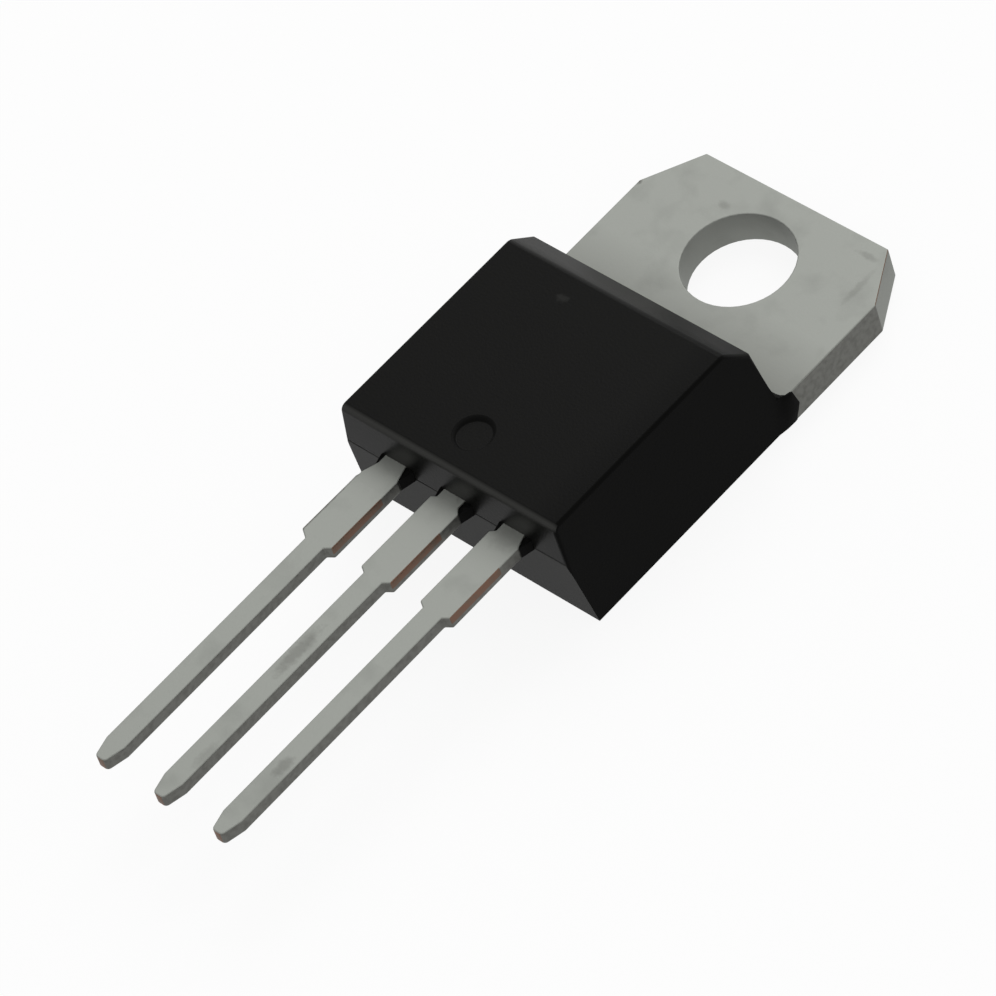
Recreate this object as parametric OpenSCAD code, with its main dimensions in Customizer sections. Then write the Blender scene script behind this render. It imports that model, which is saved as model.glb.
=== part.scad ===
// Thyristor in a three-lead tab package.
// It lies on its back: the mounting face is z = 0, the tab points along +Y, the leads along -Y,
// and the front of the moulded body faces +Z. The origin is the centre of the mounting hole,
// on the mounting face.

/* [Tab and header plate] */
// Width of the tab
tab_w = 10.1; // [9.8:0.05:10.4]
// Thickness of the tab and of the plate that it continues into
tab_t = 1.28; // [1.2:0.01:1.35]
// From the centre of the hole to the free end of the tab
tab_end = 2.87; // [2.6:0.01:3.0]
// Width that each free corner loses to its cut
corner_w = 1.16; // [0.8:0.02:1.4]
// Length of that cut along the tab
corner_l = 2.0; // [1.6:0.05:2.2]
// Diameter of the mounting hole
hole_d = 3.82; // [3.6:0.02:4.0]
// Width of the die pad where it shows in the back of the body
pad_w = 8.6; // [8.0:0.1:8.8]
// From the centre of the hole to the inner end of the die pad
pad_end = 10.2; // [9.8:0.1:10.4]

/* [Moulded body] */
// Thickness of the body, over the mounting face
body_t = 4.46; // [4.3:0.02:4.7]
// Width of the body on its front
front_w = 9.06; // [8.8:0.02:9.2]
// Width of the body on its back
back_w = 9.97; // [9.8:0.01:10.1]
// From the centre of the hole to the lead end, at the parting line
body_end = 12.97; // [12.8:0.01:13.2]
// Height of the parting line on the lead end
parting_z = 2.82; // [2.6:0.02:3.0]
// How far the lead end leans in between the parting line and the front
front_lean = 0.11; // [0.05:0.01:0.2]
// How far it leans in between the parting line and the back
back_lean = 0.28; // [0.1:0.01:0.35]
// From the centre of the hole to the front face
front_start = 4.91; // [4.7:0.01:5.1]
// Depth of the slanted face between the front and the tab-side wall
slant_h = 0.77; // [0.5:0.01:1.0]
// Run of that slanted face
slant_run = 0.88; // [0.6:0.01:1.1]
// How far the tab-side wall leans towards the tab on its way down
wall_lean = 0.28; // [0.15:0.01:0.4]
// Radius of the edges round the front face
edge_r = 0.1; // [0.05:0.01:0.25]
// Radius of the fillet at the foot of the tab-side wall
foot_r = 0.3; // [0.2:0.02:0.4]
// Diameter of the ejector pin's mark on the front
ejector_d = 1.42; // [1.2:0.02:2.0]
// Depth of that mark
ejector_depth = 0.12; // [0.05:0.01:0.2]
// From the parting line of the lead end to the centre of the mark
ejector_in = 1.57; // [1.2:0.01:2.5]
// From the middle of the body to the centre of the mark, towards the cathode lead
ejector_off = 0.19; // [0:0.01:0.5]

/* [Leads] */
// Spacing of the leads
pitch = 2.54; // [2.44:0.01:2.64]
// Thickness of the leads
lead_t = 0.5; // [0.45:0.01:0.6]
// Height of the upper side of the leads over the mounting face
lead_top = 3.2; // [3.1:0.02:3.3]
// Width of the short neck that leaves the body
neck_w = 0.92; // [0.8:0.02:1.0]
// Width of the wide part next to the neck
wide_w = 1.28; // [1.14:0.02:1.4]
// Width of the long thin part that goes through the board
thin_w = 0.8; // [0.7:0.02:0.88]
// Length of the neck outside the body
neck_l = 0.3; // [0.2:0.02:0.4]
// From the body to the end of the wide part
shoulder_l = 3.63; // [3.4:0.01:4.0]
// From the body to the tip of the lead
lead_l = 13.55; // [13:0.05:14]
// Length of the tapered tip
tip_l = 0.72; // [0.5:0.02:1.0]
// Width of the blunt end of the tip
tip_w = 0.42; // [0.3:0.02:0.5]

/* [Inside the body] */
// Side of the square silicon die
die_w = 3.8; // [3.0:0.1:4.2]
// Thickness of the die
die_t = 0.3; // [0.2:0.02:0.4]
// From the centre of the hole to the centre of the die
die_from_hole = 7.1; // [6.9:0.05:7.4]
// Thickness of the solder under the die
solder_t = 0.06; // [0.04:0.01:0.1]
// Diameter of the two cathode wires
cathode_wire_d = 0.38; // [0.3:0.02:0.42]
// Diameter of the gate wire
gate_wire_d = 0.16; // [0.12:0.02:0.2]

/* [Hidden] */

$fn = 64;

tin = [0.66, 0.67, 0.65];
epoxy = [0.11, 0.11, 0.11];
silicon = [0.32, 0.35, 0.40];
solder = [0.60, 0.60, 0.62];
aluminium = [0.80, 0.81, 0.82];

// How far a cut runs past the face that it opens
over = 1;

// Draft of the body's sides, in width for each unit of height
side_draft = (back_w - front_w) / 2 / body_t;

body_y = -body_end;
lead_tip_y = body_y - lead_l;
shoulder_y = body_y - shoulder_l;

// Step coined round the die pad, which the moulding grips from below
lip_w = 0.25;
lip_t = 0.58;
// Side notches between the tab and the die pad, filled by the moulding
notch_y = -3.36;
notch_l = 0.5;
// Groove across the pad that stops moisture creeping in along the metal
groove_y = -4.55;
groove_w = 0.4;
groove_depth = 0.15;
// Moulding that fills the side notches: how proud of the tab's sides it stands, the length over
// which it swells out of the body, its kink half way, how much shorter it is along its top, how
// deep it is rooted in the body, and how far its flash runs over the side of the tab
ear_proud = 0.04;
ear_l = 0.75;
ear_kink = 0.035;
ear_draft_l = 0.3;
ear_root = 0.3;
ear_flash = 0.2;

// Radius of the corners of the tips
tip_r = 0.16;
// Length of the slopes at the shoulder and at the neck, for each unit of width
shoulder_slope = 0.6;
neck_slope = 0.4;
// How far the necks run into the body, and how far they sink into what they carry there
neck_in = 0.65;
neck_sink = 0.05;
// The bond posts of the two outer leads: reach, width on either side, corner cut and lock hole
post_in = 2.1;
post_outer = 1.5;
post_inner = 1.34;
post_cut = 0.25;
post_hole_d = 0.5;
post_hole_in = 0.55;
// The centre lead inside the body: its width, the length over which it widens, where its slope
// starts and ends, and how far it runs over the die pad
anode_w = 1.5;
anode_flare = 0.35;
anode_slope_top = -11.9;
anode_slope_foot = -10.7;
anode_on_pad = 0.5;

die_z = tab_t + solder_t;
die_top = die_z + die_t;
die_y = -die_from_hole;
solder_margin = 0.12;
moat_in = 0.22;
moat_w = 0.24;
moat_depth = 0.07;

// Where the wires are bonded on the die, from its centre
cathode_pad_1 = [-1.0, 0.7];
cathode_pad_2 = [-0.1, 0.2];
gate_pad = [1.0, -0.9];
// Where they end on the posts, from the middle of the lead and from the lead end of the body
cathode_bond_1 = [-0.66, 0.85];
cathode_bond_2 = [0.44, 0.85];
gate_bond = [-0.24, 1.15];
// Sides and rings of the wires
wire_sides = 12;
wire_rings = 20;
// Height of the loops over the straight way
cathode_loop = 0.5;
gate_loop = 0.52;

// Arc of radius r that rounds the corner at b of the path a, b, c
function rounded(a, b, c, r, steps = 4) =
    let (u = (a - b) / norm(a - b),
         v = (c - b) / norm(c - b),
         half = acos(u * v) / 2,
         reach = r / tan(half),
         mid = (u + v) / norm(u + v),
         centre = b + mid * (r / sin(half)),
         from = b + u * reach - centre,
         to = b + v * reach - centre,
         start = atan2(from[1], from[0]),
         turn = atan2(from[0] * to[1] - from[1] * to[0], from * to))
    [for (i = [0 : steps])
        centre + r * [cos(start + turn * i / steps), sin(start + turn * i / steps)]];

// Half outline of a lead outside the body, from its tip to the body, as [half width, y]
function lead_edge() =
    let (thin = thin_w / 2,
         wide = wide_w / 2,
         neck = neck_w / 2,
         tip = tip_w / 2)
    concat(rounded([0, lead_tip_y], [tip, lead_tip_y], [thin, lead_tip_y + tip_l], tip_r),
           [[thin, lead_tip_y + tip_l],
            [thin, shoulder_y - (wide - thin) * shoulder_slope],
            [wide, shoulder_y],
            [wide, body_y - neck_l - (wide - neck) * neck_slope],
            [neck, body_y - neck_l],
            [neck, body_y + neck_in]]);

// Both sides of a lead, closed across its neck
module lead_outline() {
    edge = lead_edge();
    last = len(edge) - 1;
    polygon(concat(edge, [for (i = [last : -1 : 0]) [-edge[i][0], edge[i][1]]]));
}

// Bond post of an outer lead, wider than its neck; +x is the side of the centre lead
module post_outline() {
    back = body_y + post_in;
    front = body_y + neck_in;
    polygon([[-neck_w / 2, front - neck_sink],
             [neck_w / 2, front - neck_sink],
             [post_inner - post_cut, front],
             [post_inner, front + post_cut],
             [post_inner, back],
             [-post_outer + post_cut, back],
             [-post_outer, back - post_cut],
             [-post_outer, front + post_cut],
             [-post_outer + post_cut, front]]);
}

// An outer lead: side is -1 for the cathode, 1 for the gate
module outer_lead(side) {
    translate([side * pitch, 0, lead_top - lead_t])
        scale([-side, 1, 1])
        linear_extrude(lead_t)
        difference() {
            union() {
                lead_outline();
                post_outline();
            }
            translate([-post_outer + post_hole_in, body_y + (neck_in + post_in) / 2])
                circle(d = post_hole_d);
        }
}

// Tab and die pad, seen from the front
module plate_outline(grow) {
    side = pad_w / 2 + grow;
    end = -pad_end - grow;
    polygon([[tab_w / 2 - corner_w, tab_end],
             [tab_w / 2, tab_end - corner_l],
             [tab_w / 2, notch_y],
             [side, notch_y - notch_l],
             [side, end],
             [-side, end],
             [-side, notch_y - notch_l],
             [-tab_w / 2, notch_y],
             [-tab_w / 2, tab_end - corner_l],
             [-tab_w / 2 + corner_w, tab_end]]);
}

// The centre lead: flat outside, then down a slope on to the die pad
module anode_lead() {
    low = tab_t - lead_t;
    high = lead_top - lead_t;
    end = -pad_end + anode_on_pad;
    flare_y = body_y + neck_in + anode_flare;
    slope = atan2(high - low, anode_slope_foot - anode_slope_top);
    bend = lead_t * tan(slope / 2);
    intersection() {
        rotate([90, 0, 90])
            linear_extrude(anode_w * 2, center = true)
            polygon([[lead_tip_y - over, high],
                     [anode_slope_top - bend, high],
                     [anode_slope_foot - bend, low],
                     [end + over, low],
                     [end + over, tab_t],
                     [anode_slope_foot, tab_t],
                     [anode_slope_top, lead_top],
                     [lead_tip_y - over, lead_top]]);
        linear_extrude(body_t)
            union() {
                lead_outline();
                polygon([[-neck_w / 2, body_y + neck_in - neck_sink],
                         [neck_w / 2, body_y + neck_in - neck_sink],
                         [anode_w / 2, flare_y],
                         [anode_w / 2, end],
                         [-anode_w / 2, end],
                         [-anode_w / 2, flare_y]]);
            }
    }
}

// Stamped and coined copper: tab, die pad and centre lead in one piece
module header() {
    color(tin)
        difference() {
            union() {
                linear_extrude(tab_t) plate_outline(0);
                translate([0, 0, tab_t - lip_t])
                    linear_extrude(lip_t) plate_outline(lip_w);
                anode_lead();
            }
            translate([0, 0, -over]) cylinder(d = hole_d, h = tab_t + 2 * over);
            translate([-tab_w / 2, groove_y, tab_t])
                rotate([90, 0, 90])
                linear_extrude(tab_w)
                polygon([[-groove_w / 2, 0], [0, -groove_depth], [groove_w / 2, 0],
                         [groove_w / 2, over], [-groove_w / 2, over]]);
        }
}

module cathode_lead() {
    color(tin) outer_lead(-1);
}

module gate_lead() {
    color(tin) outer_lead(1);
}

// Chip with the passivated moat that runs round its upper side
module silicon_die() {
    outer = die_w - 2 * moat_in;
    color(silicon)
        difference() {
            translate([-die_w / 2, die_y - die_w / 2, die_z])
                cube([die_w, die_w, die_t]);
            translate([0, die_y, die_top - moat_depth])
                linear_extrude(moat_depth + over)
                difference() {
                    square(outer, center = true);
                    square(outer - 2 * moat_w, center = true);
                }
        }
}

module die_solder() {
    w = die_w + 2 * solder_margin;
    color(solder)
        translate([-w / 2, die_y - w / 2, tab_t])
        cube([w, w, solder_t]);
}

// Ultrasonically bonded wire from a pad of the die to the post of a lead. Its feet are pressed
// flat on the metal, and it climbs in one loop between them.
module bond_wire(pad, lead_x, bond, d, loop) {
    from = [pad[0], die_y + pad[1], die_top];
    to = [lead_x + bond[0], body_y + bond[1], lead_top];
    run = to - from;
    length = norm([run[0], run[1]]);
    r = d / 2;
    foot = 2 * d;
    climb = length - 2 * foot;
    flat_part = [1.35, 0.55];
    function along(u) = min(1, max(0, (u - foot) / climb));
    function rise(t) = run[2] * (3 * t * t - 2 * t * t * t) + loop * pow(sin(180 * t), 2);
    function roundness(t) = min(1, 4 * min(t, 1 - t));
    function wide(t) = r * (flat_part[0] + (1 - flat_part[0]) * roundness(t));
    function tall(t) = r * (flat_part[1] + (1 - flat_part[1]) * roundness(t));
    function level(t) = rise(t) + tall(t) * cos(180 / wire_sides);
    function lean(t) = (t <= 0 || t >= 1) ? 0
        : atan2(level(t + 0.01) - level(t - 0.01), 0.02 * climb);
    stations = concat([0], [for (i = [0 : wire_rings]) foot + climb * i / wire_rings], [length]);
    points = [for (u = stations)
                  let (t = along(u), a = lean(t))
                  for (k = [0 : wire_sides - 1])
                      let (g = 360 * (k + 0.5) / wire_sides - 90,
                           up = tall(t) * sin(g))
                      [u - up * sin(a), wide(t) * cos(g), level(t) + up * cos(a)]];
    rings = len(stations);
    last = (rings - 1) * wire_sides;
    faces = concat(
        [[for (k = [0 : wire_sides - 1]) k]],
        [for (i = [0 : rings - 2], k = [0 : wire_sides - 1])
            let (a = i * wire_sides + k, b = i * wire_sides + (k + 1) % wire_sides)
            [a, a + wire_sides, b + wire_sides, b]],
        [[for (k = [wire_sides - 1 : -1 : 0]) last + k]]);
    translate(from)
        rotate([0, 0, atan2(run[1], run[0])])
        polyhedron(points, faces, convexity = 4);
}

module cathode_wire_1() {
    color(aluminium)
        bond_wire(cathode_pad_1, -pitch, cathode_bond_1, cathode_wire_d, cathode_loop);
}

module cathode_wire_2() {
    color(aluminium)
        bond_wire(cathode_pad_2, -pitch, cathode_bond_2, cathode_wire_d, cathode_loop);
}

module gate_wire() {
    color(aluminium)
        bond_wire(gate_pad, pitch, gate_bond, gate_wire_d, gate_loop);
}

// Side view of the body, from the back of the lead end round to the tab side
module side_outline() {
    back = [body_y + back_lean, 0];
    part = [body_y, parting_z];
    front = [body_y + front_lean, body_t];
    slant_top = [-front_start, body_t];
    slant_foot = [-front_start + slant_run, body_t - slant_h];
    wall_foot = [slant_foot[0] + wall_lean, tab_t];
    foot = rounded(slant_foot, wall_foot, wall_foot + [1, 0], foot_r);
    polygon(concat([back, part],
                   rounded(part, front, slant_top, edge_r),
                   rounded(front, slant_top, slant_foot, edge_r * 2),
                   rounded(slant_top, slant_foot, wall_foot, edge_r),
                   foot,
                   [[foot[len(foot) - 1][0], 0]]));
}

// End view of the body, with drafted sides
module end_outline() {
    front = [front_w / 2, body_t];
    back = [back_w / 2, 0];
    arc = rounded(back, front, [0, body_t], edge_r);
    left = [for (i = [len(arc) - 1 : -1 : 0]) [-arc[i][0], arc[i][1]]];
    polygon(concat([back], arc, left, [[-back_w / 2, 0]]));
}

// Outline of that moulding: flank_x is where the body's side stands, start is where it leaves it
module ear_outline(flank_x, start) {
    x = tab_w / 2 + ear_proud;
    inner = pad_w / 2 - ear_root;
    polygon([[inner, start - ear_root],
             [flank_x - ear_root / 2, start - ear_root],
             [flank_x, start],
             [x - ear_kink, (start + notch_y) / 2],
             [x, notch_y],
             [x, notch_y + ear_flash],
             [inner, notch_y + ear_flash]]);
}

// Moulding that fills one side notch of the header, drawn in towards the top of the tab
module ear(side) {
    skin = 0.02;
    start = notch_y - ear_l;
    scale([side, 1, 1])
        hull() {
            linear_extrude(skin) ear_outline(back_w / 2, start);
            translate([0, 0, tab_t - skin])
                linear_extrude(skin)
                ear_outline(back_w / 2 - tab_t * side_draft, start + ear_draft_l);
        }
}

module moulded_body() {
    color(epoxy)
        difference() {
            union() {
                intersection() {
                    rotate([90, 0, 90])
                        linear_extrude(back_w + over, center = true) side_outline();
                    rotate([90, 0, 0])
                        linear_extrude(body_end + over) end_outline();
                }
                ear(-1);
                ear(1);
            }
            translate([-ejector_off, body_y + ejector_in, body_t - ejector_depth])
                cylinder(d = ejector_d, h = ejector_depth + over);
            header();
            cathode_lead();
            gate_lead();
            silicon_die();
            die_solder();
            cathode_wire_1();
            cathode_wire_2();
            gate_wire();
        }
}

header();
cathode_lead();
gate_lead();
silicon_die();
die_solder();
cathode_wire_1();
cathode_wire_2();
gate_wire();
moulded_body();
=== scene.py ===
# Thyristor in a three-lead tab package, lying on its back on a pale floor.
# The origin is the centre of the mounting hole, on the mounting face. The tab points along +Y, the
# leads along -Y, and the front of the moulding faces +Z. Sizes are in millimetres, and the last
# step of each piece turns them into metres.

import math

import bmesh
import bpy
from mathutils import Matrix, Vector


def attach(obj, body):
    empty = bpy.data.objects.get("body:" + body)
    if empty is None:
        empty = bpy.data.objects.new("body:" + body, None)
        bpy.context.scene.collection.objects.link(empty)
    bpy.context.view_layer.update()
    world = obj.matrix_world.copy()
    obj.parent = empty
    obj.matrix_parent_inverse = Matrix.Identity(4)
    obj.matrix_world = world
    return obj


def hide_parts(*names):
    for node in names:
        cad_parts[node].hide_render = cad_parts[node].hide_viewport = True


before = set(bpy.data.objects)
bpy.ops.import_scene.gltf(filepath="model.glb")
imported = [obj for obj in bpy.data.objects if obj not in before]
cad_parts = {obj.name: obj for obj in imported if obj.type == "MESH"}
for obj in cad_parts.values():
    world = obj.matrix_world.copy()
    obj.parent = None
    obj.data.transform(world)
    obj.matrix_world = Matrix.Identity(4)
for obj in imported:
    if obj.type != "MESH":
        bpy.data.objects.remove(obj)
scene = bpy.context.scene
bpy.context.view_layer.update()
mm = 0.001


# Camera. A long lens looks down on the front of the moulding from its right, beyond the leads,
# and is rolled so that the leads run towards the lower left corner.
camera_place = Vector((125.90, -91.17, 171.21))
camera_aim = Vector((0.386, -11.737, 2.0))
camera_roll = math.radians(-19.957)
camera_lens = 263.02
sensor_width = 36
nearest_seen = 10
farthest_seen = 5000

camera_data = bpy.data.cameras.new("camera")
camera_data.sensor_width = sensor_width
camera_data.lens = camera_lens
camera_data.clip_start = nearest_seen * mm
camera_data.clip_end = farthest_seen * mm
camera = bpy.data.objects.new("camera", camera_data)
camera.matrix_world = (
    Matrix.Translation(camera_place * mm)
    @ (camera_aim - camera_place).to_track_quat("-Z", "Y").to_matrix().to_4x4()
    @ Matrix.Rotation(camera_roll, 4, "Z")
)
scene.collection.objects.link(camera)
scene.camera = camera


# Header. One stamping of thick copper strip, matt tin plated: the mounting tab with its hole and
# cut corners, the die pad behind it, and the centre lead, bent up from the pad. Its long sides are
# cut by the shear, duller and darker, the darker tone partly painted shade, and bare copper shows
# where the strip was trimmed after plating.
def new_material(name, colour, metallic, roughness):
    """A material, its tree and shader, and its object coordinates in millimetres."""
    material = bpy.data.materials.new(name)
    material.use_nodes = True
    tree = material.node_tree
    shader = tree.nodes["Principled BSDF"]
    shader.inputs["Base Color"].default_value = (*colour, 1)
    shader.inputs["Metallic"].default_value = metallic
    shader.inputs["Roughness"].default_value = roughness
    coordinates = tree.nodes.new("ShaderNodeTexCoord")
    scaled = tree.nodes.new("ShaderNodeVectorMath")
    scaled.operation = "SCALE"
    scaled.inputs["Scale"].default_value = 1 / mm
    tree.links.new(coordinates.outputs["Object"], scaled.inputs[0])
    return material, tree, shader, scaled.outputs[0]


def along_axes(tree, place):
    """The X, Y and Z of a place."""
    split = tree.nodes.new("ShaderNodeSeparateXYZ")
    tree.links.new(place, split.inputs[0])
    return split.outputs["X"], split.outputs["Y"], split.outputs["Z"]


def calculate(tree, operation, *terms):
    """Values and numbers joined by one operation."""
    node = tree.nodes.new("ShaderNodeMath")
    node.operation = operation
    for socket, term in zip(node.inputs, terms):
        if isinstance(term, (int, float)):
            socket.default_value = term
        else:
            tree.links.new(term, socket)
    return node.outputs[0]


def spots(tree, place, per_mm, detail):
    """Cloudy noise of 0 to 1, with a number of spots to the millimetre."""
    noise = tree.nodes.new("ShaderNodeTexNoise")
    noise.inputs["Scale"].default_value = per_mm
    noise.inputs["Detail"].default_value = detail
    tree.links.new(place, noise.inputs["Vector"])
    return noise.outputs["Fac"]


def between(tree, value, low, high, to_low=0.0, to_high=1.0):
    """The stretch of a value from low to high, turned into to_low to to_high and held there."""
    node = tree.nodes.new("ShaderNodeMapRange")
    node.inputs["From Min"].default_value = low
    node.inputs["From Max"].default_value = high
    node.inputs["To Min"].default_value = to_low
    node.inputs["To Max"].default_value = to_high
    tree.links.new(value, node.inputs["Value"])
    return node.outputs["Result"]


def patch(tree, place, centre, reach, ragged, per_mm):
    """1 in the middle of a patch and 0 past its reach along each axis, with a ragged rim."""
    solid_part = 0.4
    offset = tree.nodes.new("ShaderNodeVectorMath")
    offset.operation = "SUBTRACT"
    offset.inputs[1].default_value = centre
    tree.links.new(place, offset.inputs[0])
    scaled = tree.nodes.new("ShaderNodeVectorMath")
    scaled.operation = "DIVIDE"
    scaled.inputs[1].default_value = reach
    tree.links.new(offset.outputs[0], scaled.inputs[0])
    length = tree.nodes.new("ShaderNodeVectorMath")
    length.operation = "LENGTH"
    tree.links.new(scaled.outputs[0], length.inputs[0])
    rim = spots(tree, place, per_mm, detail=4)
    rim = calculate(tree, "MULTIPLY_ADD", rim, ragged, -ragged / 2)
    distance = calculate(tree, "ADD", length.outputs["Value"], rim)
    return between(tree, distance, solid_part, 1.0, 1.0, 0.0)


def strongest_patch(tree, place, marks, ragged, per_mm):
    """The strongest of several patches at each place. A mark is its middle, reach and strength."""
    total = 0.0
    for centre, reach, strength in marks:
        mark = patch(tree, place, centre, reach, ragged, per_mm)
        mark = calculate(tree, "MULTIPLY", mark, strength)
        total = calculate(tree, "MAXIMUM", total, mark)
    return total


def tinted(tree, factor, first, second):
    """The first colour, which turns into the second where the factor is 1."""
    node = tree.nodes.new("ShaderNodeMix")
    node.data_type = "RGBA"
    tree.links.new(factor, node.inputs["Factor"])
    colour_inputs = [socket for socket in node.inputs if socket.type == "RGBA"]
    for socket, colour in zip(colour_inputs, (first, second)):
        if isinstance(colour, tuple):
            socket.default_value = (*colour, 1)
        else:
            tree.links.new(colour, socket)
    return [socket for socket in node.outputs if socket.type == "RGBA"][0]


def relief(tree, shader, height, depth):
    """Bumps of a depth in millimetres, from a height of 0 to 1."""
    bump = tree.nodes.new("ShaderNodeBump")
    bump.inputs["Distance"].default_value = depth * mm
    tree.links.new(height, bump.inputs["Height"])
    tree.links.new(bump.outputs["Normal"], shader.inputs["Normal"])


tin_colour = (0.266, 0.275, 0.255)
tin_dull = (0.235, 0.243, 0.225)
tin_stain_and_shade = (0.11, 0.11, 0.10)
sheared_shaded_colour = (0.15, 0.151, 0.139)
sheared_shaded_dark = (0.115, 0.115, 0.105)
copper_colour = (0.17, 0.098, 0.07)
copper_dark = (0.125, 0.1, 0.078)
tin_roughness = 0.66
sheared_roughness = 0.5
tin_clouds_per_mm = 0.8
tin_grain_per_mm = 13
tin_grain_depth = 0.002
sheared_grain_per_mm = 5
copper_grain_per_mm = 4
sheared_grain_depth = 0.006

# Stains and scuffs on the upper faces, and painted shade at the gate lead's root and along the
# cathode lead's outer edge: middle, reach and strength
tin_marks_and_shade = (
    ((-0.05, -20.15, 3.2), (0.3, 1.25, 0.3), 0.42),
    ((0.25, -24.6, 3.2), (0.25, 0.7, 0.3), 0.22),
    ((2.61, -23.6, 3.2), (0.28, 0.5, 0.3), 0.4),
    ((3.5, 2.3, 1.28), (0.5, 0.16, 0.2), 0.28),
    ((4.1, 1.1, 1.28), (0.16, 0.9, 0.2), 0.22),
    ((-1.9, 1.5, 1.28), (0.3, 0.2, 0.2), 0.3),
    ((-5.02, 0.8, 1.24), (0.2, 0.14, 0.12), 0.85),
    # Painted shade at the gate lead's root, beside the moulding
    ((2.6, -13.3, 3.2), (0.7, 0.7, 0.2), 0.22),
    # Painted shade along the cathode lead's outer edge, a dark line running out from the moulding
    ((-3.27, -15.35, 3.18), (0.11, 2.3, 0.3), 1.0),
)
mark_raggedness = 1.1
mark_spots_per_mm = 5

# Painted shade on the tab's upper face beside the moulding, which fades towards the hole
tab_shade_strength = 0.42
tab_shade_full_y = -3.5
tab_shade_gone_y = -1.2
tab_shade_starts_y = -6
tab_shade_depth = 0.03
tab_t = 1.28

tin, tree, shader, place = new_material(
    "tin_plate", tin_colour, metallic=1.0, roughness=tin_roughness
)
along, up = along_axes(tree, place)[1:]
cloud = spots(tree, place, tin_clouds_per_mm, detail=4)
colour = tinted(tree, between(tree, cloud, 0.5, 0.75), tin_colour, tin_dull)
# Stains, with painted shade at the gate lead's root and along the cathode lead's edge
stains_and_shade = strongest_patch(tree, place, tin_marks_and_shade, mark_raggedness, mark_spots_per_mm)
colour = tinted(tree, stains_and_shade, colour, tin_stain_and_shade)
# Painted shade on the tab beside the moulding, fading towards the hole
tab_shade = between(tree, along, tab_shade_full_y, tab_shade_gone_y, tab_shade_strength, 0)
tab_shade = calculate(tree, "MULTIPLY", tab_shade, between(tree, along, tab_shade_starts_y, tab_shade_starts_y + 1))
tab_shade = calculate(tree, "MULTIPLY", tab_shade, between(tree, up, tab_t - tab_shade_depth, tab_t))
tree.links.new(tinted(tree, tab_shade, colour, tin_stain_and_shade), shader.inputs["Base Color"])
relief(tree, shader, spots(tree, place, tin_grain_per_mm, detail=2), tin_grain_depth)

# Sides from the shear: duller than the tin, and darker partly as painted shade
sheared_shaded, tree, shader, place = new_material(
    "tinned_sheared_edge_shaded", sheared_shaded_colour, metallic=1.0, roughness=sheared_roughness
)
grain = spots(tree, place, sheared_grain_per_mm, detail=3)
colour = tinted(tree, between(tree, grain, 0.4, 0.7), sheared_shaded_colour, sheared_shaded_dark)
tree.links.new(colour, shader.inputs["Base Color"])
relief(tree, shader, grain, sheared_grain_depth)

bare, tree, shader, place = new_material(
    "bare_copper", copper_colour, metallic=1.0, roughness=sheared_roughness
)
grain = spots(tree, place, copper_grain_per_mm, detail=3)
colour = tinted(tree, between(tree, grain, 0.4, 0.8), copper_colour, copper_dark)
tree.links.new(colour, shader.inputs["Base Color"])
relief(tree, shader, grain, sheared_grain_depth)

plating = [tin, sheared_shaded, bare]
tin_slot, sheared_shaded_slot, bare_slot = range(3)

weld_distance = 0.0005
flat_angle = math.radians(0.4)
smooth_angle = math.radians(35)


def in_mm(mesh):
    """A mesh as a shape to work on, in millimetres."""
    bm = bmesh.new()
    bm.from_mesh(mesh)
    bmesh.ops.scale(bm, vec=Vector((1, 1, 1)) / mm, verts=bm.verts)
    return bm


def node_copy(node):
    """A solid of the frame as a shape in millimetres, with its flat faces in one piece."""
    bm = in_mm(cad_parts[node].data)
    bmesh.ops.remove_doubles(bm, verts=bm.verts, dist=weld_distance)
    bmesh.ops.dissolve_limit(bm, angle_limit=flat_angle, verts=bm.verts, edges=bm.edges)
    return bm


def round_edges(bm, wanted, radius, segments, least=25):
    """Rounds the edges that turn by more than least degrees, where wanted takes their middle."""
    edges = []
    for edge in bm.edges:
        middle = (edge.verts[0].co + edge.verts[1].co) / 2
        if edge.calc_face_angle(0) > math.radians(least) and wanted(middle):
            edges.append(edge)
    bmesh.ops.bevel(
        bm, geom=edges, offset=radius, affect="EDGES", segments=segments, profile=0.5, material=-1
    )


def divide_faces(bm, faces, point, normal):
    """New edges where a plane crosses the faces. The shape stays as it is."""
    edges = dict.fromkeys(e for f in faces for e in f.edges)
    verts = dict.fromkeys(v for f in faces for v in f.verts)
    bmesh.ops.bisect_plane(
        bm, geom=[*faces, *edges, *verts], dist=0.0001, plane_co=point, plane_no=normal
    )


def finished(bm, name, materials):
    """The piece as an object in metres, smooth over its gentle edges."""
    bmesh.ops.scale(bm, vec=Vector((mm, mm, mm)), verts=bm.verts)
    mesh = bpy.data.meshes.new(name)
    bm.to_mesh(mesh)
    bm.free()
    for material in materials:
        mesh.materials.append(material)
    mesh.shade_smooth()
    mesh.set_sharp_from_angle(angle=smooth_angle)
    piece = bpy.data.objects.new(name, mesh)
    scene.collection.objects.link(piece)
    evened = piece.modifiers.new("even_shading", "WEIGHTED_NORMAL")
    evened.keep_sharp = True
    return piece


tab_end_y = 2.87
corner_l = 2.0
notch_y = -3.36
hole_r = 1.91
body_end_y = -12.97
lead_l = 13.55
neck_half = 0.92 / 2
neck_l = 0.3
wide_half = 1.28 / 2
metal_edge_r = 0.05

# The tie bar between the leads was cut off over this stretch, down to this height
trim_from = body_end_y - 1.35
trim_to = body_end_y - 3.63
trim_z = 2.9

# How far off its line a corner or a face still counts as on it
slack = 0.03


def on_lead(middle):
    """Whether a place is on the part of a lead that shows, or just inside the moulding."""
    return middle.y < body_end_y + 0.3


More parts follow.
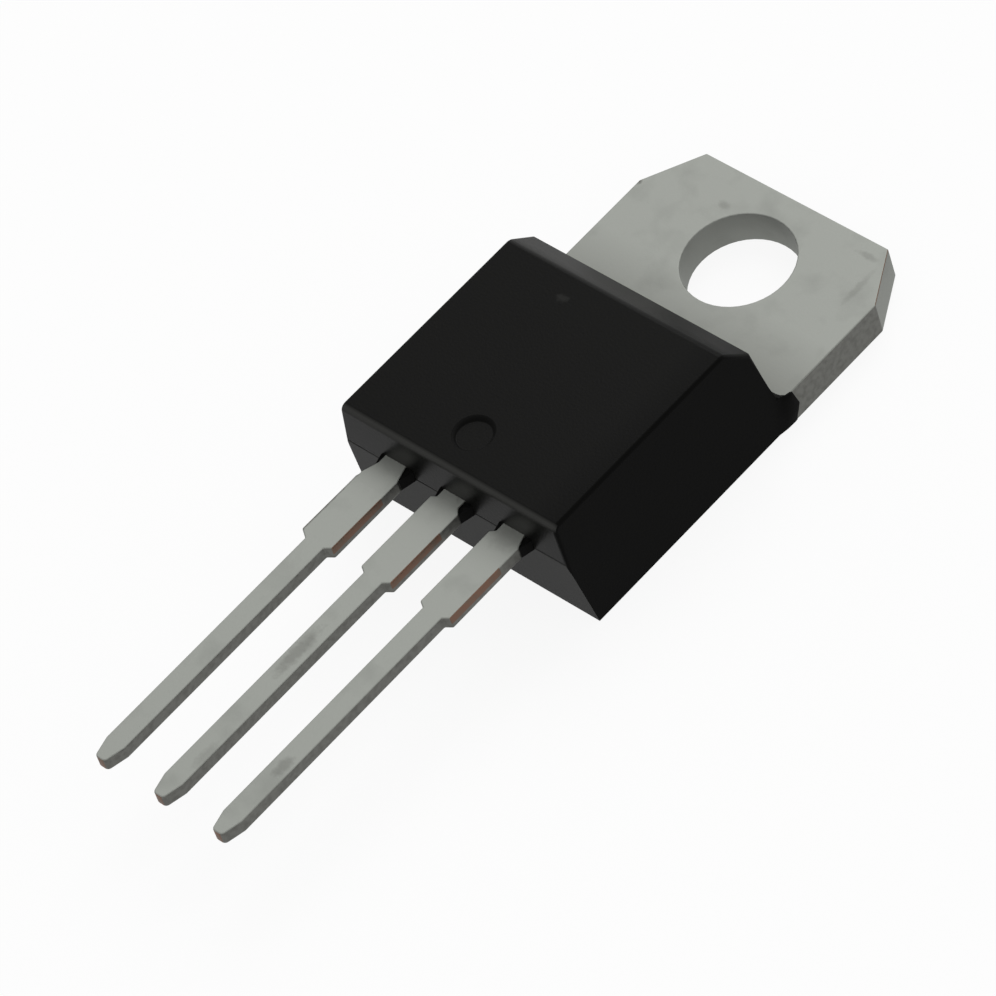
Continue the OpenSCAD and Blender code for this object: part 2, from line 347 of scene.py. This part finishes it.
def taper_neck(bm, lead_x, left, right, right_inner):
    """Slopes the ends of the wide part beside the neck, by lengths away from the moulding."""
    for v in bm.verts:
        beyond_neck = body_end_y - neck_l - v.co.y
        if abs(beyond_neck) > 0.15:
            continue
        sideways = v.co.x - lead_x
        if abs(abs(sideways) - wide_half) < 0.1:
            v.co.y -= left if sideways < 0 else right
        elif abs(sideways - neck_half) < slack:
            v.co.y -= right_inner


def plate_lead(bm, lead_x):
    """Tin on the rolled faces, sides from the shear that are darker partly as painted shade, and
    bare copper where the tie bar was cut off.
    """
    for point, normal in (((0, trim_from, 0), (0, 1, 0)), ((0, 0, trim_z), (0, 0, 1))):
        outside = [f for f in bm.faces if f.calc_center_median().y < body_end_y]
        divide_faces(bm, outside, point, normal)
    for face in bm.faces:
        middle = face.calc_center_median()
        if not on_lead(middle):
            continue
        face.material_index = sheared_shaded_slot if abs(face.normal.z) < 0.5 else tin_slot
        on_side = abs(middle.x - lead_x) > wide_half - slack and abs(face.normal.x) > 0.6
        trimmed = trim_from > middle.y > trim_to and middle.z > trim_z
        on_tip = face.normal.y < -0.9 and middle.y < body_end_y - lead_l + slack
        if on_side and trimmed or on_tip:
            face.material_index = bare_slot


header_bm = node_copy("header")
taper_neck(header_bm, 0, left=0.03, right=0.12, right_inner=0)
round_edges(header_bm, on_lead, metal_edge_r, segments=3)
round_edges(header_bm, lambda middle: middle.y > notch_y + 0.01, metal_edge_r, segments=3)
for face in header_bm.faces:
    middle = face.calc_center_median()
    by_corner = middle.y > tab_end_y - corner_l - 0.1
    on_corner = by_corner and min(abs(face.normal.x), abs(face.normal.y)) > 0.3
    on_side = abs(face.normal.z) < 0.5 and middle.xy.length > hole_r + slack and not on_corner
    face.material_index = sheared_shaded_slot if on_side else tin_slot
    if on_corner and middle.x > hole_r and 0.35 < face.normal.z < 0.85:
        face.material_index = bare_slot
plate_lead(header_bm, 0)
header = finished(header_bm, "header_plated", plating)
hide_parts("header")
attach(header, "root")
plated = [header]


# Chip and its solder. A square of silicon with a moat cut round its rim, soft soldered on the die
# pad. Both keep the meshes of their solids.
silicon_colour = (0.09, 0.1, 0.115)
solder_colour = (0.36, 0.36, 0.375)
inner_grain_per_mm = 12


def finish_node(node, name, colour, metallic, roughness):
    """A solid of the frame that keeps its mesh and gets a plain finish with a fine grain."""
    material, tree, shader, place = new_material(name, colour, metallic, roughness)
    relief(tree, shader, spots(tree, place, inner_grain_per_mm, detail=2), tin_grain_depth)
    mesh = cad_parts[node].data
    mesh.materials.clear()
    mesh.materials.append(material)


finish_node("silicon_die", "silicon", silicon_colour, metallic=0.6, roughness=0.25)
finish_node("die_solder", "soft_solder", solder_colour, metallic=1.0, roughness=0.45)


# Outer leads. Two stamped copper leads, plated with the header, each with a wide post and a lock
# hole inside the moulding. They are mirror images but for their necks and for a burr that the
# trimming left on the cathode lead's outer edge.
pitch = 2.54
burr_w = 0.1
burr_from = body_end_y - 1.27
burr_ramp = 0.17
burr_shoulder = 0.08


def add_burr(bm, lead_x):
    """Pushes the outer edge out, from a step beyond the neck down to the shoulder."""
    for y in (burr_from, burr_from + burr_ramp):
        divide_faces(bm, list(bm.faces), (0, y, 0), (0, 1, 0))
    for v in bm.verts:
        if abs(v.co.x - lead_x + wide_half) > slack or not on_lead(v.co):
            continue
        if v.co.y < burr_from - slack:
            v.co.x -= burr_w
            v.co.y += burr_shoulder
        elif v.co.y < burr_from + slack:
            v.co.x -= burr_w
        elif v.co.y > burr_from + burr_ramp + slack:
            v.co.x -= burr_w / 2


# Each lead's place, and how far the ends of its wide part slope: left, right and right inner
outer_leads = (
    ("cathode_lead", -pitch, 0.5, 0.22, -0.24),
    ("gate_lead", pitch, 0.06, 0.1, -0.24),
)
for node, lead_x, left, right, right_inner in outer_leads:
    lead_bm = node_copy(node)
    if node == "cathode_lead":
        add_burr(lead_bm, lead_x)
    taper_neck(lead_bm, lead_x, left, right, right_inner)
    round_edges(lead_bm, on_lead, metal_edge_r, segments=3)
    plate_lead(lead_bm, lead_x)
    lead = finished(lead_bm, node + "_plated", plating)
    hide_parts(node)
    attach(lead, "root")
    plated.append(lead)


# Bonded wires. Bare aluminium, two thick ones from the chip to the cathode's post and a thin one
# to the gate's. They keep the meshes of their solids.
aluminium_colour = (0.62, 0.63, 0.64)
for node in ("cathode_wire_1", "cathode_wire_2", "gate_wire"):
    finish_node(node, node + "_aluminium", aluminium_colour, metallic=1.0, roughness=0.35)


# Moulded body. Black filled epoxy, transfer moulded round the header, the leads and the wires. Its
# sides and ends lean for the mould, its front edges are rounded, and it fills the header's two
# side notches.
body_t = 4.46
front_half = 9.06 / 2
back_half = 9.97 / 2
parting_z = 2.82
front_lean = 0.11
back_lean = 0.28
front_start_y = -4.91
slant_h = 0.87
slant_run = 0.95
wall_lean = 0.26
foot_edge_r = 0.15
foot_ledge = 0.155
end_edge_r = 0.22
slant_edge_r = 0.12
left_edge_r = 0.05
right_edge_r = 0.13
rounded_above = 1.6
left_extra = 0.065
left_skew = 0.004
groove_r = 0.024
groove_spread = 3.5
mark_r = 0.72
mark_floor_r = 0.6
mark_floor_edge_r = 0.03
mark_depth = 0.12
mark_tilt = math.radians(2)
mark_deep_side = Vector((-0.68, 0.73, 0))
mark_middle = Vector((-0.19, body_end_y + 1.57, body_t))

epoxy_colour = (0.0058, 0.0058, 0.0054)
epoxy_low_lit_colour = (0.0145, 0.0145, 0.0137)
epoxy_shaded_side_colour = (0.003, 0.003, 0.0028)
epoxy_edge_sheen = (0.041, 0.041, 0.039)
epoxy_pale = (0.035, 0.035, 0.033)
epoxy_right_shade = (0.0006, 0.0006, 0.0006)
epoxy_ior = 1.16
epoxy_gloss = (0.18, 0.18, 0.18)
matt_epoxy_ior = 1.1
epoxy_roughness = 0.34
slant_roughness = 0.49
low_roughness = 0.4
side_roughness = 0.5
epoxy_grain_per_mm = 11
epoxy_grain_depth = 0.004

# A scuff on the front, and a paler patch on the end just above the middle lead: middle, reach and
# strength
epoxy_marks = (
    ((-1.47, -5.84, 4.46), (0.32, 0.2, 0.2), 0.35),
    ((0.05, -12.93, 3.33), (0.42, 0.2, 0.14), 0.8),
)
epoxy_mark_raggedness = 1.2
epoxy_mark_spots_per_mm = 6

# Painted reflections of the leads' tops on the end above their roots, paler patches which lean to
# the right as they rise:
# middle, reach and strength
reflection_reach = (0.6, 0.5, 0.9)
root_reflections = (
    ((-pitch + 0.05, body_end_y, 3.5), reflection_reach, 0.75),
    ((0.05, body_end_y, 3.5), reflection_reach, 0.95),
    ((pitch + 0.05, body_end_y, 3.5), reflection_reach, 0.9),
)
reflection_lean = 0.8
reflection_level = 3.2
reflection_raggedness = 0.2
reflection_spots_per_mm = 3

# The front is darker towards its right edge, painted shade, and a painted reflection lightens it
# where it rounds over to the leads
right_shade_starts_x = 3.3
right_shade_full_x = 4.35
right_shade_strength = 0.4
# Painted reflection on the rounding from the front over to the leads' end
edge_sheen_starts_y = body_end_y + 0.31
edge_sheen_full_y = body_end_y + 0.19
edge_sheen_starts_z = 4.23
edge_sheen_full_z = 4.36

# The slant is rougher than the front, and paler but for its right end, a painted reflection of the
# tab
slant_fade = 0.1
slant_sheen_strength = 0.45
slant_sheen_full_x = 0.6
slant_sheen_gone_x = 2.5

epoxy, tree, shader, place = new_material(
    "black_epoxy", epoxy_colour, metallic=0.0, roughness=epoxy_roughness
)
shader.inputs["IOR"].default_value = epoxy_ior
shader.inputs["Specular Tint"].default_value = (*epoxy_gloss, 1)
across, along, up = along_axes(tree, place)
# Painted shade towards the front's right edge
right_shade = between(tree, across, right_shade_starts_x, right_shade_full_x, 0, right_shade_strength)
colour = tinted(tree, right_shade, epoxy_colour, epoxy_right_shade)

# Painted reflections of the leads' tops, on the end above their roots
leaning = tree.nodes.new("ShaderNodeCombineXYZ")
lean = calculate(tree, "MULTIPLY_ADD", up, -reflection_lean, reflection_level * reflection_lean)
tree.links.new(calculate(tree, "ADD", across, lean), leaning.inputs["X"])
tree.links.new(along, leaning.inputs["Y"])
tree.links.new(up, leaning.inputs["Z"])
root_reflection = strongest_patch(tree, leaning.outputs[0], root_reflections, reflection_raggedness, reflection_spots_per_mm)
colour = tinted(tree, root_reflection, colour, epoxy_pale)
# Painted reflection on the rounding over to the leads' end
edge_sheen = between(tree, along, edge_sheen_starts_y, edge_sheen_full_y)
edge_sheen = calculate(tree, "MULTIPLY", edge_sheen, between(tree, up, edge_sheen_starts_z, edge_sheen_full_z))
colour = tinted(tree, edge_sheen, colour, epoxy_edge_sheen)
slant = between(tree, along, front_start_y - slant_fade, front_start_y + slant_fade)
# Painted reflection of the tab on the slant, gone at its right end
slant_sheen = between(tree, across, slant_sheen_full_x, slant_sheen_gone_x, slant_sheen_strength, 0)
slant_sheen = calculate(tree, "MULTIPLY", slant, slant_sheen)
# The scuff, the paler patch above the middle lead and the painted reflection on the slant, all in
# the pale colour
pale_marks = strongest_patch(tree, place, epoxy_marks, epoxy_mark_raggedness, epoxy_mark_spots_per_mm)
pale_marks = calculate(tree, "MAXIMUM", pale_marks, slant_sheen)
tree.links.new(tinted(tree, pale_marks, colour, epoxy_pale), shader.inputs["Base Color"])
roughness = between(tree, slant, 0, 1, epoxy_roughness, slant_roughness)
tree.links.new(roughness, shader.inputs["Roughness"])
relief(tree, shader, spots(tree, place, epoxy_grain_per_mm, detail=3), epoxy_grain_depth)

# A darker, matter copy of the epoxy; the darker colour is painted shade on the flanks, the flash,
# the foot and the ejector mark's wall
shaded_side_epoxy, tree, shader, place = new_material(
    "black_epoxy_sides_shaded", epoxy_shaded_side_colour, metallic=0.0, roughness=side_roughness
)
shader.inputs["IOR"].default_value = matt_epoxy_ior
relief(tree, shader, spots(tree, place, epoxy_grain_per_mm, detail=3), epoxy_grain_depth)

# A paler, matter copy of the epoxy for the end below the parting line; the paler colour is painted
# light
lit_low_epoxy, tree, shader, place = new_material(
    "black_epoxy_low_end_lit", epoxy_low_lit_colour, metallic=0.0, roughness=low_roughness
)
shader.inputs["IOR"].default_value = matt_epoxy_ior
relief(tree, shader, spots(tree, place, epoxy_grain_per_mm, detail=3), epoxy_grain_depth)

moulding = [epoxy, shaded_side_epoxy, lit_low_epoxy]
epoxy_slot, shaded_side_slot, lit_low_slot = range(3)


def join_shapes(bm, others, operation):
    """The first shape with the others added or cut away, all in millimetres."""
    helpers = []
    for shape in [bm] + others:
        mesh = bpy.data.meshes.new("helper")
        shape.to_mesh(mesh)
        shape.free()
        helper = bpy.data.objects.new("helper", mesh)
        scene.collection.objects.link(helper)
        helpers.append(helper)
    for other in helpers[1:]:
        step = helpers[0].modifiers.new("step", "BOOLEAN")
        step.operation = operation
        step.solver = "EXACT"
        step.object = other
    result = bmesh.new()
    result.from_object(helpers[0], bpy.context.evaluated_depsgraph_get())
    for helper in helpers:
        bpy.data.meshes.remove(helper.data)
    return result


def carry_on(bm, cap):
    """Extrudes an end face and returns the new end, with its corners in the same order."""
    far = bmesh.ops.extrude_face_region(bm, geom=[cap])
    return [item for item in far["geom"] if isinstance(item, bmesh.types.BMFace)][0]


def extruded(points, distance):
    """A flat outline carried along a distance, with its faces outwards."""
    bm = bmesh.new()
    cap = carry_on(bm, bm.faces.new([bm.verts.new(point) for point in points]))
    bmesh.ops.translate(bm, vec=distance, verts=cap.verts)
    bmesh.ops.recalc_face_normals(bm, faces=bm.faces)
    return bm


slant_foot = (front_start_y + slant_run, body_t - slant_h)
wall_y = slant_foot[0] + wall_lean
side_view = (
    (body_end_y + back_lean, 0),
    (body_end_y, parting_z),
    (body_end_y + front_lean, body_t),
    (front_start_y, body_t),
    slant_foot,
    (wall_y, tab_t),
    (wall_y + foot_ledge, tab_t),
    (wall_y + foot_ledge, 0),
)
body_bm = extruded([(-1, y, z) for y, z in side_view], (2, 0, 0))

# The sides lean in towards the front, and the left one stands a little further out
for v in body_bm.verts:
    v.co.x *= back_half + (front_half - back_half) * v.co.z / body_t
    if v.co.x < 0:
        v.co.x -= left_extra + left_skew * (front_start_y - v.co.y)
for y, z, radius, segments in (
    (wall_y, tab_t, foot_edge_r, 4),
    (body_end_y + front_lean, body_t, end_edge_r, 6),
    (front_start_y, body_t, slant_edge_r, 6),
):
    corner = Vector((0, y, z))
    round_edges(body_bm, lambda middle: (middle - corner).length < 0.1, radius, segments, least=15)


def on_left(middle):
    """Whether a place is on the upper part of the left flank."""
    return middle.x < -1 and middle.z > rounded_above


def on_right(middle):
    """Whether a place is on the upper part of the right flank."""
    return middle.x > 1 and middle.z > rounded_above


round_edges(body_bm, on_left, left_edge_r, segments=3, least=60)
round_edges(body_bm, on_right, right_edge_r, segments=5, least=60)

# Filling of the side notches, with the flash that creeps along the sides of the tab: height, where
# it leaves the flank, its middle, its outermost corner and the end of the flash
ear_levels = (
    (0, (4.975, -4.15), (5.04, -3.75), (5.055, -3.4), -3.29),
    (0.2, (4.955, -4.1), (5.045, -3.7), (5.075, -3.36), -3.25),
    (0.35, (4.94, -4.06), (5.045, -3.66), (5.085, -3.33), -3.17),
    (0.62, (4.915, -4.0), (5.03, -3.62), (5.09, -3.3), -3.05),
    (1.05, (4.87, -3.88), (4.98, -3.56), (5.08, -3.32), -3.15),
    (1.26, (4.85, -3.8), (4.94, -3.53), (5.06, -3.36), -3.19),
    (1.3, (4.84, -3.76), (4.93, -3.52), (5.04, -3.38), -3.3),
)
ear_root = (3.9, -4.3)
ear_inside = ((4.97, -3.43), (4.85, -3.515), (4.7, -3.548), (3.9, -3.55))
flash_inner_x = 5.0
flash_narrowing = 0.01
for side in (-1, 1):
    ear_bm = bmesh.new()
    caps = []
    for z, start, middle, corner, flash_y in ear_levels:
        flash_end = ((corner[0] - flash_narrowing, flash_y), (flash_inner_x, flash_y))
        outline = (ear_root, start, middle, corner, *flash_end, *ear_inside)
        points = [(side * x, y, z) for x, y in outline]
        if not caps:
            caps.append(ear_bm.faces.new([ear_bm.verts.new(point) for point in points]))
            continue
        caps.append(carry_on(ear_bm, caps[-1]))
        for v, point in zip(caps[-1].verts, points):
            v.co = point
    bmesh.ops.delete(ear_bm, geom=caps[1:-1], context="FACES_ONLY")
    bmesh.ops.recalc_face_normals(ear_bm, faces=ear_bm.faces)
    body_bm = join_shapes(body_bm, [ear_bm], "UNION")

# Flash that fills the recess on either side of each neck, wider where it leaves the moulding. The
# right-hand pieces reach further out, partly a dark shape put in for the shade beside each root
flash_l = 0.52
flash_low = 2.72
flash_h = 0.44
flash_taper = 0.14
flash_root = 0.3
flash_root_extra = 0.04
neck_overlap = 0.05
neck_flash_and_shade = []
for lead_x in (-pitch, 0, pitch):
    # The right-hand pieces reach further, partly a dark shape standing in for shade beside each
    # root
    for side, reach in ((-1, 0.62), (1, 0.75)):
        outline = (
            (neck_half - neck_overlap, flash_root),
            (neck_half - neck_overlap, -flash_l),
            (reach - flash_taper, -flash_l),
            (reach, 0),
            (reach + flash_root_extra, flash_root),
        )
        points = [(lead_x + side * x, body_end_y + y, flash_low) for x, y in outline]
        neck_flash_and_shade.append(extruded(points, (0, 0, flash_h)))
body_bm = join_shapes(body_bm, neck_flash_and_shade, "UNION")

# The fine line on the end where the two halves of the mould met
groove_bm = bmesh.new()
bmesh.ops.create_cone(
    groove_bm, cap_ends=True, segments=4, radius1=groove_r, radius2=groove_r, depth=3 * back_half
)
bmesh.ops.rotate(groove_bm, matrix=Matrix.Rotation(math.radians(90), 3, "Y"), verts=groove_bm.verts)
bmesh.ops.scale(groove_bm, vec=(1, 1, groove_spread), verts=groove_bm.verts)
bmesh.ops.translate(groove_bm, vec=(0, body_end_y, parting_z), verts=groove_bm.verts)

# The ejector pin's mark, a shallow dish that is slightly deeper on its far left
mark_bm = bmesh.new()
bmesh.ops.create_cone(
    mark_bm,
    cap_ends=True,
    segments=64,
    radius1=mark_floor_r,
    radius2=2 * mark_r - mark_floor_r,
    depth=2 * mark_depth,
)
round_edges(mark_bm, lambda middle: middle.z < 0, mark_floor_edge_r, segments=3)
tilt_axis = Vector((0, 0, 1)).cross(mark_deep_side)
bmesh.ops.rotate(mark_bm, matrix=Matrix.Rotation(mark_tilt, 3, tilt_axis), verts=mark_bm.verts)
bmesh.ops.translate(mark_bm, vec=mark_middle, verts=mark_bm.verts)

inner_nodes = ("silicon_die", "die_solder", "cathode_wire_1", "cathode_wire_2", "gate_wire")
metal = [node_copy(node) for node in inner_nodes] + [in_mm(piece.data) for piece in plated]
body_bm = join_shapes(body_bm, [groove_bm, mark_bm] + metal, "DIFFERENCE")
for face in body_bm.faces:
    middle = face.calc_center_median()
    on_flank = abs(face.normal.x) > 0.7
    on_flash_and_shade = middle.y < body_end_y - 0.01 and middle.z > flash_low - 0.01
    on_foot = face.normal.y > 0.05 and tab_t - 0.01 < middle.z < tab_t + 0.25
    in_mark = (middle - mark_middle).length < 1.1 * mark_r and middle.z < body_t - 0.005
    on_mark_wall = in_mark and face.normal.z < 0.97
    # Painted shade: the darker epoxy goes on the flanks, the flash, the foot and the ejector mark's
    # wall
    if on_flank or on_flash_and_shade or on_foot or on_mark_wall:
        face.material_index = shaded_side_slot
    # Painted light: the paler epoxy goes on the end below the parting line
    elif face.normal.y < -0.9 and middle.z < parting_z:
        face.material_index = lit_low_slot
    else:
        face.material_index = epoxy_slot
body = finished(body_bm, "moulded_body_epoxy", moulding)
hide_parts("moulded_body")
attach(body, "root")


# Floor and studio light. The floor is white to the camera and to gloss, and keeps a soft shadow.
# A large soft lamp stands behind the tab, high on the left, and the white room fills the rest.
floor_level = -0.01
floor_half = 1500
floor_colour = (0.85, 0.85, 0.85)
floor_glow = 0.9
room_fill = 0.65
lamp_place = Vector((-220, 420, 520))
lamp_width = 450
lamp_watts = 2.4


def seen_directly(tree):
    """1 for what the camera, a gloss or a clear piece sees, and 0 for soft light."""
    path = tree.nodes.new("ShaderNodeLightPath")
    seen = calculate(tree, "MAXIMUM", path.outputs["Is Camera Ray"], path.outputs["Is Glossy Ray"])
    return calculate(tree, "MAXIMUM", seen, path.outputs["Is Transmission Ray"])


floor_material = bpy.data.materials.new("pale_floor")
floor_material.use_nodes = True
tree = floor_material.node_tree
tree.nodes.clear()
matt = tree.nodes.new("ShaderNodeBsdfDiffuse")
matt.inputs["Color"].default_value = (*floor_colour, 1)
glow = tree.nodes.new("ShaderNodeEmission")
mix = tree.nodes.new("ShaderNodeMixShader")
out = tree.nodes.new("ShaderNodeOutputMaterial")
tree.links.new(calculate(tree, "MULTIPLY", seen_directly(tree), floor_glow), mix.inputs["Fac"])
tree.links.new(matt.outputs[0], mix.inputs[1])
tree.links.new(glow.outputs[0], mix.inputs[2])
tree.links.new(mix.outputs[0], out.inputs["Surface"])

floor_bm = bmesh.new()
bmesh.ops.create_grid(floor_bm, x_segments=1, y_segments=1, size=floor_half)
bmesh.ops.translate(floor_bm, vec=(0, 0, floor_level), verts=floor_bm.verts)
floor = finished(floor_bm, "floor", [floor_material])

world = bpy.data.worlds.new("studio")
scene.world = world
world.use_nodes = True
tree = world.node_tree
background = tree.nodes["Background"]
background.inputs["Color"].default_value = (1, 1, 1, 1)
strength = between(tree, seen_directly(tree), 0, 1, room_fill, 1.0)
tree.links.new(strength, background.inputs["Strength"])

lamp = bpy.data.lights.new("key", "AREA")
lamp.size = lamp_width * mm
lamp.energy = lamp_watts
light = bpy.data.objects.new("key", lamp)
light.matrix_world = (
    Matrix.Translation(lamp_place * mm)
    @ (camera_aim - lamp_place).to_track_quat("-Z", "Y").to_matrix().to_4x4()
)
scene.collection.objects.link(light)

scene.view_settings.view_transform = "Standard"
